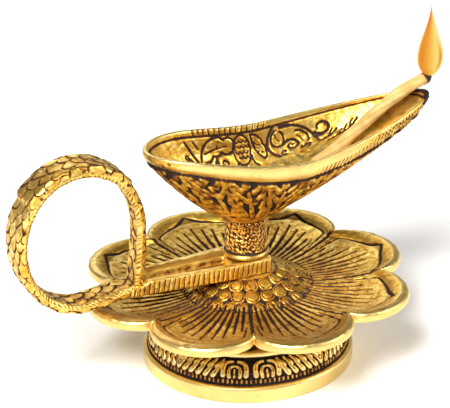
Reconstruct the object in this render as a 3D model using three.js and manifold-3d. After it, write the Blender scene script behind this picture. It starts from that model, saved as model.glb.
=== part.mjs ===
// Cast brass diya (oil lamp): a hollow turned foot, an eight-petal lotus plate, a snake handle,
// a stem collar and a boat-shaped oil bowl, all pulled together by one bolt from underneath.
// A rolled cotton wick lies in the bowl and leans out over the spout.
// Millimetres, +Z up. Spout towards +X, finger loop towards -X. The base of the foot is at z = 0.
import * as THREE from 'three';
import { mergeVertices } from 'three/addons/utils/BufferGeometryUtils.js';
import Module from 'manifold-3d';

const wasm = await Module();
wasm.setup();

// ---------------------------------------------------------------- driving dimensions
const seatGap = 0.3;              // clearance between castings that sit on each other
const boltGap = 0.45;             // radial clearance of the bolt in its holes

const footRadius = 41.4;
const footRestWidth = 3.0;        // flat ring that the lamp stands on
const flangeHeight = 6.6;
const footHeight = 26.0;          // top of the deck that carries the lotus plate
const footWall = 3.0;
const deckRadius = 28.5;
const deckThickness = 2.7;

const petalCount = 8;
const petalTipRadius = 65.4;
const petalNotchRadius = 52.5;
const petalRimHeight = 9.0;       // top of the petal rim above the plate's seat
const petalEdge = 4.4;            // thickness of the petal edge
const plateFloor = 4.4;           // thickness of the plate between the seed mound and the petals
const moundRadius = 11;           // flat top of the seed mound, under the handle
const moundHeight = 12.0;         // above the plate's seat
const petalBorder = 5.0;          // sloping band round each petal

const tongueThickness = 5.9;
const tongueRootWidth = 19;
const tongueTipWidth = 12.5;
const tongueEnd = 7;              // how far the tongue reaches past the stem
const frontRibWidth = 3.2;
const rearRibWidth = 7.2;         // at the stem
const ribNarrowing = 0.62;        // width of the rear rib at the loop, as a share of that
const channelDepth = 1.8;
const loopInnerWidth = 45.2;      // finger loop, across
const loopInnerHeight = 52.0;     // finger loop, up
const loopThickness = 4.4;        // of the snake, across the loop
const snakeWidth = 15.4;
const snakeNeckWidth = 13;        // at the bottom of the loop, where it runs into the tongue
const snakeTailWidth = 9.8;       // where the right arm lands on the tongue
const loopInset = 44.8;           // from the stem to the near outside of the loop

const collarRadius = 8.2;
const collarHeight = 15.8;

const bowlBack = 41;              // from the stem to the back of the bowl
const bowlSpout = 80;             // from the stem to the tip of the spout
const bowlHalfWidth = 22.8;
const bowlWidest = 16;            // where the bowl is widest, ahead of the stem
const bowlDepth = 27;             // from the bowl's seat up to the lowest point of the rim
const backRise = 6.8;             // rim at the back, above its lowest point
const spoutRise = 9.6;           // rim at the spout, above its lowest point
const bowlWall = 2.0;
const rimBand = 6.5;              // height of the upright band under the rim, beside the stem
const rimBandTaper = 0.42;        // share of that height lost at the back and at the spout
const bowlBaseRadius = 9.2;
const bowlFloor = 6.6;            // solid above the seat, which holds the bolt's thread
const insideFullness = 1.45;      // how late the inside climbs from the floor to the rim
const outsideFullness = 1.36;     // and the outside

const boltRadius = 2.45;
const boltHeadAcrossCorners = 9.2;
const boltHeadHeight = 3.5;
const threadLength = 4.6;
const washerRadius = 6;
const washerThickness = 1.0;
const lockWasherRadius = 4.6;
const lockWasherThickness = 1.2;

const wickRadius = 2.45;
const wickOverhang = 3.5;         // past the tip of the spout
const wickStart = 30;             // lower end, ahead of the stem, on the floor of the spout
const wickRestGap = 0.6;          // between the lower end and that floor
const wickStartShift = 1.0;       // the wick lies to one side of the spout's middle
const wickSideShift = 2.5;        // and a little more so at its tip
const wickLipGap = 1.8;           // rise of the wick's tip above its rest on the spout

// ---------------------------------------------------------------- heights that follow
const plateSeat = footHeight + seatGap;
const tongueBottom = plateSeat + moundHeight + seatGap;
const tongueTop = tongueBottom + tongueThickness;
const collarBottom = tongueTop + seatGap;
const bowlSeat = collarBottom + collarHeight + seatGap;
const rimLow = bowlSeat + bowlDepth;
const bowlInside = bowlSeat + bowlFloor;
const boltHole = boltRadius + boltGap;
const deckUnderside = footHeight - deckThickness;

const loopOuterX = loopInnerWidth / 2 + loopThickness;
const loopOuterZ = loopInnerHeight / 2 + loopThickness;
const loopCentreX = -(loopInset + loopOuterX - loopThickness / 2);
const loopBottom = tongueBottom - 2.4;
const loopCentreZ = loopBottom + loopOuterZ;

const leftEnd = loopCentreX - loopOuterX;
const rightEnd = bowlSpout + wickOverhang;
const midLength = (leftEnd + rightEnd) / 2;

// ---------------------------------------------------------------- helpers
function vec2(points) {
  return points.map(([a, b]) => new THREE.Vector2(a, b));
}

// Revolve an outline of [radius, height] pairs about +Z.
function revolve(points, segments) {
  const geometry = new THREE.LatheGeometry(vec2(points), segments);
  geometry.rotateX(Math.PI / 2);
  return geometry;
}

// Move every point of a geometry by a function of its position.
function warp(geometry, move) {
  const position = geometry.attributes.position;
  const point = new THREE.Vector3();
  for (let i = 0; i < position.count; i += 1) {
    point.fromBufferAttribute(position, i);
    move(point);
    position.setXYZ(i, point.x, point.y, point.z);
  }
  return geometry;
}

function bare(geometry) {
  const copy = geometry.clone();
  copy.deleteAttribute('normal');
  copy.deleteAttribute('uv');
  return mergeVertices(copy, 1e-4);
}

function toSolid(geometry) {
  const merged = bare(geometry);
  const indices = Array.from(merged.index.array);
  const triangles = [];
  for (let i = 0; i < indices.length; i += 3) {
    const [a, b, c] = indices.slice(i, i + 3);
    if (a !== b && b !== c && c !== a) triangles.push(a, b, c);
  }
  return new wasm.Manifold(new wasm.Mesh({
    numProp: 3,
    vertProperties: merged.attributes.position.array,
    triVerts: new Uint32Array(triangles),
  }));
}

function toGeometry(solid) {
  const mesh = solid.getMesh();
  const geometry = new THREE.BufferGeometry();
  geometry.setAttribute('position', new THREE.BufferAttribute(mesh.vertProperties, 3));
  geometry.setIndex(new THREE.BufferAttribute(mesh.triVerts, 1));
  geometry.computeVertexNormals();
  return geometry;
}

function rod(radius, bottom, top, segments) {
  return revolve([[0, bottom], [radius, bottom], [radius, top], [0, top]], segments);
}

// A flat ring: outer radius, inner radius, bottom, top.
function ring(outer, inner, bottom, top, segments) {
  return revolve([[inner, bottom], [outer, bottom], [outer, top], [inner, top], [inner, bottom]], segments);
}

function smoothstep(value) {
  const t = Math.min(1, Math.max(0, value));
  return t * t * (3 - 2 * t);
}

function finish(colour, roughness, metalness) {
  return new THREE.MeshStandardMaterial({ color: colour, roughness, metalness });
}

// ---------------------------------------------------------------- foot
// Turned flange, convex carved shoulder, bright lip, recessed neck and a flat deck; hollow below.
function makeFoot() {
  const restInner = footRadius - footRestWidth - 1;
  const shoulder = footRadius - 1.7;
  const lip = 33.6;
  const lipBottom = 15.4;
  const lipTop = 18.2;
  const profile = [
    [boltHole, deckUnderside],
    [deckRadius - footWall, deckUnderside],
    [deckRadius - footWall, lipTop - 1],
    [lip - footWall, lipBottom - 1.5],
    [shoulder - footWall, flangeHeight + 1.5],
    [restInner, flangeHeight - 2],
    [restInner, 0],
    [footRadius - 1, 0],
    [footRadius, 1],
    [footRadius, flangeHeight - 1],
    [footRadius - 1, flangeHeight],
    [shoulder, flangeHeight + 0.3],
    [shoulder, flangeHeight + 2.6],
    [shoulder - 1.1, flangeHeight + 5.6],
    [shoulder - 3.6, flangeHeight + 8],
    [lip, lipBottom],
    [lip + 0.6, lipBottom + 0.9],
    [lip, lipTop],
    [deckRadius, lipTop + 0.6],
    [deckRadius - 0.8, footHeight - 4],
    [deckRadius, footHeight - 0.6],
    [deckRadius - 0.6, footHeight],
    [boltHole, footHeight],
    [boltHole, deckUnderside],
  ];
  return revolve(profile, 48);
}

// ---------------------------------------------------------------- lotus plate
// A disc pulled in between eight rounded petals. Its mound of seeds carries the handle.
function petalReach(angle) {
  const lobe = Math.abs(Math.cos((petalCount / 2) * angle)) ** 0.6;
  return (petalNotchRadius + (petalTipRadius - petalNotchRadius) * lobe) / petalTipRadius;
}

function makeLotusPlate() {
  const rimTop = plateSeat + petalRimHeight;
  const rimBottom = rimTop - petalEdge;
  const floorTop = plateSeat + plateFloor;
  const moundTop = plateSeat + moundHeight;
  const profile = [
    [boltHole, plateSeat],
    [deckRadius, plateSeat],
    [46, plateSeat + 2.2],
    [petalTipRadius - 3, rimBottom - 0.3],
    [petalTipRadius - 0.8, rimBottom + 0.4],
    [petalTipRadius, rimBottom + 1.8],
    [petalTipRadius - 0.3, rimTop - 1],
    [petalTipRadius - 1.4, rimTop],
    [petalTipRadius - petalBorder, rimTop - 1.6],
    [56, rimTop - 2.6],
    [46, floorTop + 1.4],
    [35, floorTop + 0.3],
    [26, floorTop + 0.4],
    [21, floorTop + 2.2],
    [16, moundTop - 2.6],
    [moundRadius + 1.5, moundTop - 0.4],
    [moundRadius, moundTop],
    [boltHole, moundTop],
    [boltHole, plateSeat],
  ];
  const inner = 24;
  return warp(revolve(profile, 8 * petalCount), (point) => {
    const radius = Math.hypot(point.x, point.y);
    const angle = Math.atan2(point.y, point.x);
    const pull = smoothstep((radius - inner) / (petalTipRadius - inner));
    const scale = 1 - (1 - petalReach(angle)) * pull;
    point.x *= scale;
    point.y *= scale;
  });
}

// ---------------------------------------------------------------- snake handle
// One casting: a ribbed tongue clamped under the stem and a snake curled into a finger loop.
function tongueOutline(frontInset, rearInset) {
  const root = tongueRootWidth / 2;
  const tip = tongueTipWidth / 2;
  return new THREE.Shape(vec2([
    [tongueEnd, frontInset - root],
    [tongueEnd, root - rearInset],
    [-collarRadius - 2, root - rearInset],
    [-loopInset, tip - rearInset * ribNarrowing],
    [-loopInset - 6, tip - rearInset * ribNarrowing],
    [-loopInset - 6, frontInset - tip],
    [-loopInset, frontInset - tip],
    [-collarRadius - 2, frontInset - root],
  ]));
}

// Centre line of the snake: it leaves the tongue, runs round the loop and lands on the tongue again.
function snakePath() {
  const reachX = loopOuterX - loopThickness / 2;
  const reachZ = loopOuterZ - loopThickness / 2;
  const points = [];
  points.push(new THREE.Vector3(-loopInset, 0, tongueBottom + tongueThickness / 2));
  const stations = 16;
  for (let i = 0; i <= stations; i += 1) {
    const angle = -Math.PI / 2 - (1.5 * Math.PI * i) / stations;
    points.push(new THREE.Vector3(
      loopCentreX + reachX * Math.cos(angle), 0, loopCentreZ + reachZ * Math.sin(angle),
    ));
  }
  const armX = loopCentreX + reachX;
  points.push(new THREE.Vector3(armX - 0.8, 0, loopCentreZ - reachZ * 0.45));
  points.push(new THREE.Vector3(armX - 2.4, 0, tongueTop - 1.5));
  return new THREE.CatmullRomCurve3(points);
}

function snakeSection() {
  const half = loopThickness / 2;
  const wide = snakeWidth / 2;
  const bevel = 1.2;
  return new THREE.Shape(vec2([
    [-wide, -half + bevel], [-wide + bevel, -half], [wide - bevel, -half], [wide, -half + bevel],
    [wide, half - bevel], [wide - bevel, half], [-wide + bevel, half], [-wide, half - bevel],
  ]));
}

function makeSnakeHandle() {
  const snake = new THREE.ExtrudeGeometry(snakeSection(), { steps: 52, extrudePath: snakePath() });
  const armSide = loopCentreX + loopOuterX / 3;
  warp(snake, (point) => {
    const down = smoothstep((loopCentreZ - point.z) / loopOuterZ);
    const across = smoothstep((point.x - armSide) / (loopOuterX * 0.6));
    const body = 1 + (snakeNeckWidth / snakeWidth - 1) * down;
    point.y *= body + (snakeTailWidth / snakeWidth - body) * across;
  });
  const tongue = new THREE.ExtrudeGeometry(tongueOutline(0, 0), { depth: tongueThickness, bevelEnabled: false });
  tongue.translate(0, 0, tongueBottom);
  const channel = new THREE.ExtrudeGeometry(
    tongueOutline(frontRibWidth, rearRibWidth), { depth: channelDepth + 1, bevelEnabled: false },
  );
  channel.translate(0, 0, tongueTop - channelDepth);
  const keepSeat = rod(collarRadius + 1.5, tongueBottom, tongueTop, 32);
  const hole = rod(boltHole, tongueBottom - 1, tongueTop + 1, 24);
  const solid = toSolid(tongue)
    .subtract(toSolid(channel))
    .add(toSolid(keepSeat).intersect(toSolid(tongue)))
    .add(toSolid(snake))
    .subtract(toSolid(hole));
  return toGeometry(solid);
}

// ---------------------------------------------------------------- stem collar
// Waisted spacer between the handle and the bowl.
function makeStemCollar() {
  const top = collarBottom + collarHeight;
  const profile = [
    [boltHole, collarBottom],
    [collarRadius + 0.3, collarBottom],
    [collarRadius + 0.7, collarBottom + 1.0],
    [collarRadius, collarBottom + 2.2],
    [collarRadius - 0.3, collarBottom + 5],
    [collarRadius - 0.3, top - 4],
    [collarRadius + 0.4, top - 1.6],
    [collarRadius + 0.9, top],
    [boltHole, top],
    [boltHole, collarBottom],
  ];
  return revolve(profile, 40);
}

// ---------------------------------------------------------------- oil bowl
// Plan outline of the rim: full and round at the back, drawn out to a narrow spout in front.
function rimPoint(angle) {
  const along = Math.cos(angle);
  const side = Math.sign(Math.sin(angle));
  const reach = along > 0 ? bowlSpout - bowlWidest : bowlBack + bowlWidest;
  const fullness = along > 0 ? Math.sqrt(1 - along ** 2) * (1 - 0.3 * along ** 1.5) : (1 - Math.abs(along) ** 2.5) ** 0.5;
  return new THREE.Vector2(bowlWidest + reach * along, side * bowlHalfWidth * fullness);
}

// Height of the rim: lowest beside the stem, higher at the back, highest at the spout.
function rimHeight(x) {
  if (x < bowlWidest) {
    const share = (bowlWidest - x) / (bowlBack + bowlWidest);
    return rimLow + (backRise * (1 - Math.cos(Math.PI * share))) / 2;
  }
  return rimLow + spoutRise * ((x - bowlWidest) / (bowlSpout - bowlWidest)) ** 1.4;
}

// The band under the rim is tallest where the bowl is widest.
function bandHeight(x) {
  const reach = x < bowlWidest ? bowlBack + bowlWidest : bowlSpout - bowlWidest;
  return rimBand * (1 - rimBandTaper * ((x - bowlWidest) / reach) ** 2);
}

// The bowl is lathed with radius 0 to 1 standing for base ring to rim, then spread to its outline.
// Layers: height code 0 is the outer skin below the band, 1 the band, 2 the rim top, 3 the inside.
function makeOilBowl() {
  const baseRings = [[0, bowlSeat + threadLength + 0.4], [boltRadius + 0.35, bowlSeat + threadLength + 0.4],
    [boltRadius + 0.35, bowlSeat], [bowlBaseRadius, bowlSeat]];
  const outerShares = [0, 0.12, 0.26, 0.42, 0.6, 0.78, 0.92];
  const innerShares = [0.92, 0.76, 0.58, 0.4, 0.22, 0.08];
  const segments = 56;
  const bandShare = 0.97;

  const rings = [];
  baseRings.forEach(([radius, height]) => rings.push((rim) => flatRing(rim, radius, height)));
  outerShares.forEach((share) => rings.push((rim) => skinRing(rim, share * bandShare, 0)));
  rings.push((rim) => skinRing(rim, bandShare, 0));
  rings.push((rim) => bandRing(rim, 1.0, -bandHeight(rim.x) * 0.45, 0));
  rings.push((rim) => bandRing(rim, 1.0, -0.6, 0));
  rings.push((rim) => bandRing(rim, 1.0, 0, 0.5));
  rings.push((rim) => bandRing(rim, 1.0, 0, bowlWall - 0.3));
  rings.push((rim) => bandRing(rim, 1.0, -0.7, bowlWall));
  rings.push((rim) => bandRing(rim, bandShare, -bandHeight(rim.x), bowlWall));
  innerShares.forEach((share) => rings.push((rim) => skinRing(rim, share * bandShare, bowlWall)));
  rings.push(() => new THREE.Vector3(0, 0, bowlInside));

  const profile = rings.map((_, index) => [index === 0 || index === rings.length - 1 ? 0 : 1, index]);
  return warp(revolve(profile, segments), (point) => {
    const index = Math.round(point.z);
    const angle = Math.atan2(point.y, point.x);
    point.copy(rings[index](rimPoint(angle)));
  });
}

// A ring on the stem axis, in the direction of a rim point.
function flatRing(rim, radius, height) {
  const away = Math.max(rim.length(), 1e-6);
  return new THREE.Vector3((radius * rim.x) / away, (radius * rim.y) / away, height);
}

// A ring of the hull between the base ring (share 0) and the outline (share 1), inset by a wall.
function skinRing(rim, share, wall) {
  const base = flatRing(rim, bowlBaseRadius, 0);
  const reach = rim.length();
  const inset = 1 - wall / reach;
  const bottom = wall > 0 ? bowlInside : bowlSeat + 0.8;
  const top = rimHeight(rim.x) - bandHeight(rim.x);
  const fullness = wall > 0 ? insideFullness : outsideFullness;
  return new THREE.Vector3(
    base.x + (rim.x * inset - base.x) * share,
    base.y + (rim.y * inset - base.y) * share,
    bottom + (top - bottom) * share ** fullness,
  );
}

// A ring of the upright band: share of the outline, drop from the rim and inset from the outside.
function bandRing(rim, share, drop, inset) {
  const normalInset = inset / rim.length();
  return new THREE.Vector3(
    rim.x * (share - normalInset),
    rim.y * (share - normalInset * 1.6),
    rimHeight(rim.x) + drop,
  );
}

// ---------------------------------------------------------------- bolt and washers
function makeFlatWasher() {
  const top = deckUnderside - seatGap;
  return ring(washerRadius, boltHole, top - washerThickness, top, 32);
}

function makeLockWasher() {
  const top = deckUnderside - seatGap - washerThickness - seatGap;
  return ring(lockWasherRadius, boltHole, top - lockWasherThickness, top, 32);
}

function makeTieBolt() {
  const headTop = deckUnderside - washerThickness - lockWasherThickness - 3 * seatGap;
  const head = rod(boltHeadAcrossCorners / 2, headTop - boltHeadHeight, headTop, 6);
  const shank = rod(boltRadius, headTop - 1, bowlSeat + threadLength, 24);
  return toGeometry(toSolid(head).add(toSolid(shank)));
}

// ---------------------------------------------------------------- wick
// Height of the spout's floor on its middle line.
function spoutFloor(x) {
  const reach = bowlSpout - bowlWall - bowlBaseRadius;
  const climb = rimLow + spoutRise - bandHeight(bowlSpout) - bowlInside;
  return bowlInside + climb * ((x - bowlBaseRadius) / reach) ** insideFullness;
}

// Rolled cotton: lower end on the spout's floor, then up in a slack S to a tip just past the spout.
function makeWick() {
  const rest = spoutFloor(wickStart) + wickRadius + wickRestGap;
  const tip = rimLow + spoutRise + wickRadius + wickLipGap;
  const length = rightEnd - wickStart;
  const start = new THREE.Vector3(wickStart, wickStartShift, rest);
  const low = new THREE.Vector3(wickStart + 0.3 * length, wickStartShift, rest + 0.22 * (tip - rest));
  const high = new THREE.Vector3(wickStart + 0.67 * length, wickSideShift, tip - 0.8);
  const end = new THREE.Vector3(rightEnd, wickSideShift, tip);
  const path = new THREE.CubicBezierCurve3(start, low, high, end);
  const section = new THREE.Shape();
  section.absarc(0, 0, wickRadius, 0, 2 * Math.PI, false);
  return new THREE.ExtrudeGeometry(section, { steps: 20, curveSegments: 10, extrudePath: path });
}

// ---------------------------------------------------------------- assembly
const goldBrass = finish('#c9a03a', 0.32, 1.0);
const steel = finish('#9a9a96', 0.4, 1.0);
const cotton = finish('#e8d6a0', 0.95, 0.0);

const parts = [
  ['foot', makeFoot(), goldBrass],
  ['lotus_plate', makeLotusPlate(), goldBrass],
  ['snake_handle', makeSnakeHandle(), goldBrass],
  ['stem_collar', makeStemCollar(), goldBrass],
  ['oil_bowl', makeOilBowl(), goldBrass],
  ['tie_bolt', makeTieBolt(), steel],
  ['flat_washer', makeFlatWasher(), steel],
  ['lock_washer', makeLockWasher(), steel],
  ['wick', makeWick(), cotton],
];

const lamp = new THREE.Group();
for (const [name, geometry, material] of parts) {
  const mesh = new THREE.Mesh(geometry, material.clone());
  mesh.name = name;
  lamp.add(mesh);
}
lamp.position.x = -midLength;

export default lamp;
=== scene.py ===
import math

import bpy
import numpy as np
from mathutils import Matrix, Vector


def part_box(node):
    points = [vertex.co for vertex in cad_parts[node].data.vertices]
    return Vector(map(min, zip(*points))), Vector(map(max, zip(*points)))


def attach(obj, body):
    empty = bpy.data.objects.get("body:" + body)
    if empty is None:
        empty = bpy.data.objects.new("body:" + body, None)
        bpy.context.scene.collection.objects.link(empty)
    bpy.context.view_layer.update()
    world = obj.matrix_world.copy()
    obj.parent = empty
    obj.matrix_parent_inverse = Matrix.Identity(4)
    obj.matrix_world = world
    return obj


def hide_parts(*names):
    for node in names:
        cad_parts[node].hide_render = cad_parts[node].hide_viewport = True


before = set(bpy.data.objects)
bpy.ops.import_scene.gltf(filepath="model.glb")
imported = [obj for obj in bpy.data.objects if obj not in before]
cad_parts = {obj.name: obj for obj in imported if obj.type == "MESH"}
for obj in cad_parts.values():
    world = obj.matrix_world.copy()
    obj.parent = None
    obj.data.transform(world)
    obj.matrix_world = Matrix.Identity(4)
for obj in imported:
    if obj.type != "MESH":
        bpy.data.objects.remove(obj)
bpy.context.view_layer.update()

MM = 0.001
FULL_TURN = 2 * math.pi


# ---------------------------------------- camera
# A long lens a metre away, a little above the rim of the bowl, on the loop's side of the spout.
# The camera leans by about one degree, as a hand-levelled tripod does.
CAMERA_AZIMUTH = math.radians(-24.5)
CAMERA_ELEVATION = math.radians(24.5)
CAMERA_LEAN = math.radians(1.3)
CAMERA_DISTANCE = 1.0
CAMERA_TARGET = Vector((-0.002, 0.0, 0.0669))
CAMERA_LENS = 208.0


def add_object(name, data):
    """A new object in the scene."""
    made = bpy.data.objects.new(name, data)
    bpy.context.scene.collection.objects.link(made)
    return made


camera_data = bpy.data.cameras.new("camera")
camera_data.lens = CAMERA_LENS
camera_data.sensor_width = 36.0
camera_data.clip_end = 20.0
camera = add_object("camera", camera_data)
back = Vector((math.sin(CAMERA_AZIMUTH) * math.cos(CAMERA_ELEVATION),
               -math.cos(CAMERA_AZIMUTH) * math.cos(CAMERA_ELEVATION),
               math.sin(CAMERA_ELEVATION)))
level_right = Vector((math.cos(CAMERA_AZIMUTH), math.sin(CAMERA_AZIMUTH), 0.0))
level_up = back.cross(level_right)
right = level_right * math.cos(CAMERA_LEAN) - level_up * math.sin(CAMERA_LEAN)
up = level_up * math.cos(CAMERA_LEAN) + level_right * math.sin(CAMERA_LEAN)
turn = Matrix((right, up, back)).transposed().to_4x4()
camera.matrix_world = Matrix.Translation(CAMERA_TARGET + back * CAMERA_DISTANCE) @ turn
bpy.context.scene.camera = camera
bpy.context.scene.view_settings.view_transform = "Standard"


# ---------------------------------------- foot
# The foot is sand cast brass, turned outside: a plain polished flange, a shoulder carved with leaf lobes, a
# bright lip, a dark carved neck and a flat deck. It is hollow, and the lamp's one bolt goes up through it.
FLANGE_HEIGHT = 6.6
LIP_RADIUS = 33.6
LIP_BOTTOM, LIP_TOP = 15.4, 18.2
NECK_RADIUS = 28.0
NECK_LEAVES = 30
FOOT_WALL = 3.0
BOLT_HOLE = 2.9
FOOT_AROUND = 648
FOOT_TILES = 4
FIRST_CURLS = math.radians(-113.5)
CARVING_HEIGHT = 11.4
BOARD_PER_MM = 8


def corners(cad_node):
    """Lowest and highest corner of a CAD node, in millimetres."""
    low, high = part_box(cad_node)
    return np.array(low) / MM, np.array(high) / MM


def around(count):
    """Evenly spread angles of a full turn."""
    return np.linspace(0, FULL_TURN, count, endpoint=False)


def unit(value):
    """The value held between 0 and 1."""
    return np.clip(value, 0, 1)


def ease(value, start, width):
    """0 up to the start, 1 from a width beyond it, an S-shaped cubic between. A negative width runs down."""
    t = unit((value - start) / width)
    return t * t * (3.0 - 2.0 * t)


def bell(value, middle, width):
    """1 at the middle, falling off on both sides like a bell curve of the given width."""
    return np.exp(-((value - middle) / width) ** 2)


def distance_along(line):
    """Distance from a line's first point to each of its points."""
    return np.concatenate([[0.0], np.cumsum(np.hypot(*np.diff(line, axis=0).T))])


def read_line(at, reach, line):
    """Points of a line at given distances along it, where reach is the distance of each of its points."""
    return np.stack([np.interp(at, reach, line[:, k]) for k in (0, 1)], axis=1)


def outline(knots, counts, blur, closed=True):
    """Points along a polyline of (radius, height) knots with its corners rounded.
    The polyline is cut into fine steps, blurred by a bell curve of the given width, and read off again with
    the given number of stations between each knot and the next."""
    step = 0.05
    knots = np.array(knots, float)
    if closed:
        knots = np.vstack([knots, knots[:1]])
    reach = distance_along(knots)
    fine = np.arange(0.0, reach[-1], step)
    line = read_line(fine, reach, knots)
    half = int(4 * blur / step)
    weights = np.exp(-0.5 * (np.arange(-half, half + 1) * step / blur) ** 2)
    weights /= weights.sum()
    padded = np.pad(line, ((half, half), (0, 0)), mode="wrap" if closed else "edge")
    soft = np.stack([np.convolve(padded[:, k], weights, mode="valid") for k in (0, 1)], axis=1)
    stations = [np.linspace(reach[i], reach[i + 1], n, endpoint=False) for i, n in enumerate(counts)]
    if not closed:
        stations.append(reach[-1:])
        soft[0], soft[-1] = line[0], line[-1]
    return read_line(np.concatenate(stations), fine, soft)


def first_stations(counts):
    """Number of the station that stands on each knot."""
    return np.concatenate([[0], np.cumsum(counts)])


def blank(x_range, y_range):
    """An empty carving board: a raster over a rectangle in millimetres, with a cut and a raised layer."""
    shape = [int((high - low) * BOARD_PER_MM) + 1 for low, high in (y_range, x_range)]
    return {"corner": (x_range[0], y_range[0]), "cut": np.zeros(shape), "rise": np.zeros(shape)}


def stroke(board, layer, points, start_width, end_width, sharp=1.0):
    """Draws one tool stroke on a layer of a board: 1 on its centre line, falling to 0 at its half-width.
    The half-width runs from start to end along the stroke. Where strokes meet the larger value stays."""
    points = np.array(points, float)
    corner = board["corner"]
    rows, columns = board[layer].shape
    grow = max(start_width, end_width) + 0.2
    low = np.floor((points.min(0) - grow - corner) * BOARD_PER_MM).astype(int)
    high = np.ceil((points.max(0) + grow - corner) * BOARD_PER_MM).astype(int)
    x0, y0 = np.maximum(low, 0)
    x1, y1 = np.minimum(high + 1, [columns, rows])
    if x1 <= x0 or y1 <= y0:
        return
    px = corner[0] + np.arange(x0, x1) / BOARD_PER_MM
    py = (corner[1] + np.arange(y0, y1) / BOARD_PER_MM)[:, None]
    nearest = np.full((y1 - y0, x1 - x0), 9.0)
    steps = len(points) - 1
    for i in range(steps):
        ax, ay = points[i]
        dx, dy = points[i + 1] - points[i]
        along = unit(((px - ax) * dx + (py - ay) * dy) / max(dx * dx + dy * dy, 1e-9))
        gap = np.hypot(px - ax - along * dx, py - ay - along * dy)
        width = start_width + (end_width - start_width) * (i + along) / steps
        nearest = np.minimum(nearest, gap / np.maximum(width, 0.04))
    view = board[layer][y0:y1, x0:x1]
    np.maximum(view, unit(1.0 - nearest ** 2) ** sharp, out=view)


def bend(a, b, c, steps=14):
    """Points on the curve from a to c that leans towards b (a quadratic Bezier)."""
    t = np.linspace(0.0, 1.0, steps + 1)[:, None]
    return (1 - t) ** 2 * np.array(a) + 2 * t * (1 - t) * np.array(b) + t ** 2 * np.array(c)


def branch(root, side, *points):
    """A bend through three points, each a distance from the root towards one side, and a height."""
    return bend(*[(root + side * x, y) for x, y in points])


def curl(centre, radius, turns, start, tail=0.12, steps=30):
    """Points on a spiral that winds in from radius to tail times radius, from a start angle in turns."""
    t = np.linspace(0.0, 1.0, steps + 1)
    angle = FULL_TURN * (start + turns * t)
    reach = radius * (1 - (1 - tail) * t ** 0.85)
    return np.stack([centre[0] + reach * np.cos(angle), centre[1] + reach * np.sin(angle)], axis=1)


def read_board(board, layer, x, y):
    """Value of a layer at points in millimetres, blended between the four raster points round each."""
    grid = board[layer]
    fx = np.clip((x - board["corner"][0]) * BOARD_PER_MM, 0, grid.shape[1] - 1.001)
    fy = np.clip((y - board["corner"][1]) * BOARD_PER_MM, 0, grid.shape[0] - 1.001)
    ix, iy = fx.astype(int), fy.astype(int)
    tx, ty = fx - ix, fy - iy
    top = grid[iy, ix] * (1 - tx) + grid[iy, ix + 1] * tx
    low = grid[iy + 1, ix] * (1 - tx) + grid[iy + 1, ix + 1] * tx
    return top * (1 - ty) + low * ty


def grain(points, pitch, seed):
    """Smooth random value, mostly within 1 of 0, at points in space: nine crossed waves, bent by others."""
    draw = np.random.default_rng(seed)
    total = np.zeros(points.shape[:-1])
    for _ in range(9):
        direction = draw.normal(size=3)
        direction /= np.linalg.norm(direction)
        other = draw.normal(size=3)
        wave = points @ direction / pitch * FULL_TURN * draw.uniform(0.6, 1.5)
        total += np.sin(wave + 1.7 * np.sin(points @ other / (1.9 * pitch) + draw.uniform(0, 6)))
    return total / 5.0


def skin_normals(grid, wraps):
    """Unit normals of a grid of stations x around points, from the cross product of its two directions.
    They point out of the body, which the sign of the body's volume tells."""
    across = np.roll(grid, -1, axis=1) - np.roll(grid, 1, axis=1)
    if wraps:
        along = np.roll(grid, -1, axis=0) - np.roll(grid, 1, axis=0)
    else:
        along = np.gradient(grid, axis=0)
    normal = np.cross(along, across)
    size = np.linalg.norm(normal, axis=2, keepdims=True)
    normal = normal / np.maximum(size, 1e-9)
    outward = np.sum(normal * size * (grid - grid.reshape(-1, 3).mean(0)))
    return normal if outward > 0 else -normal


def make_shell(name, grid, wraps, attributes):
    """One closed mesh from a grid of stations x around points in millimetres.
    Around always joins up. The stations join up too if wraps, and otherwise the first and the last are
    closed by a fan to their middle. Each attribute is one number from 0 to 1 for each grid point."""
    stations, count = grid.shape[:2]
    points = grid.reshape(-1, 3)
    i = np.arange(stations if wraps else stations - 1)[:, None]
    j = np.arange(count)[None, :]
    i2, j2 = (i + 1) % stations, (j + 1) % count
    quads = np.stack([i * count + j, i2 * count + j, i2 * count + j2, i * count + j2], axis=-1)
    quads = quads.reshape(-1, 4)
    triangles = np.zeros((0, 3), int)
    if not wraps:
        first, last = len(points), len(points) + 1
        points = np.vstack([points, grid[0].mean(0), grid[-1].mean(0)])
        ring = np.arange(count)
        following = (ring + 1) % count
        end = (stations - 1) * count
        start_fan = np.stack([ring, following, np.full(count, first)], axis=1)
        end_fan = np.stack([end + following, end + ring, np.full(count, last)], axis=1)
        triangles = np.vstack([start_fan, end_fan])
    split = np.vstack([quads[:, [0, 1, 2]], quads[:, [0, 2, 3]], triangles])
    a, b, c = (points[split[:, k]] for k in range(3))
    if np.einsum("ij,ij->i", a, np.cross(b, c)).sum() < 0:
        quads, triangles = quads[:, ::-1], triangles[:, ::-1]
    mesh = bpy.data.meshes.new(name)
    mesh.from_pydata((points * MM).tolist(), [], quads.tolist() + triangles.tolist(), shade_flat=False)
    for label, values in attributes.items():
        flat = np.zeros(len(points))
        flat[:values.size] = unit(values).ravel()
        mesh.attributes.new(label, "FLOAT", "POINT").data.foreach_set("value", flat)
    return add_object(name, mesh)


def casting(name, grid, depth, patina, wraps=True):
    """A casting's shell: the grid sunk along its normals by a depth in millimetres, with its patina."""
    return make_shell(name, grid - skin_normals(grid, wraps) * depth[..., None], wraps, {"patina": patina})


def linear(hex_colour):
    """sRGB hex colour as linear red, green, blue and alpha."""
    parts = [int(hex_colour[k:k + 2], 16) / 255 for k in (1, 3, 5)]
    return [v / 12.92 if v <= 0.04045 else ((v + 0.055) / 1.055) ** 2.4 for v in parts] + [1.0]


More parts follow.
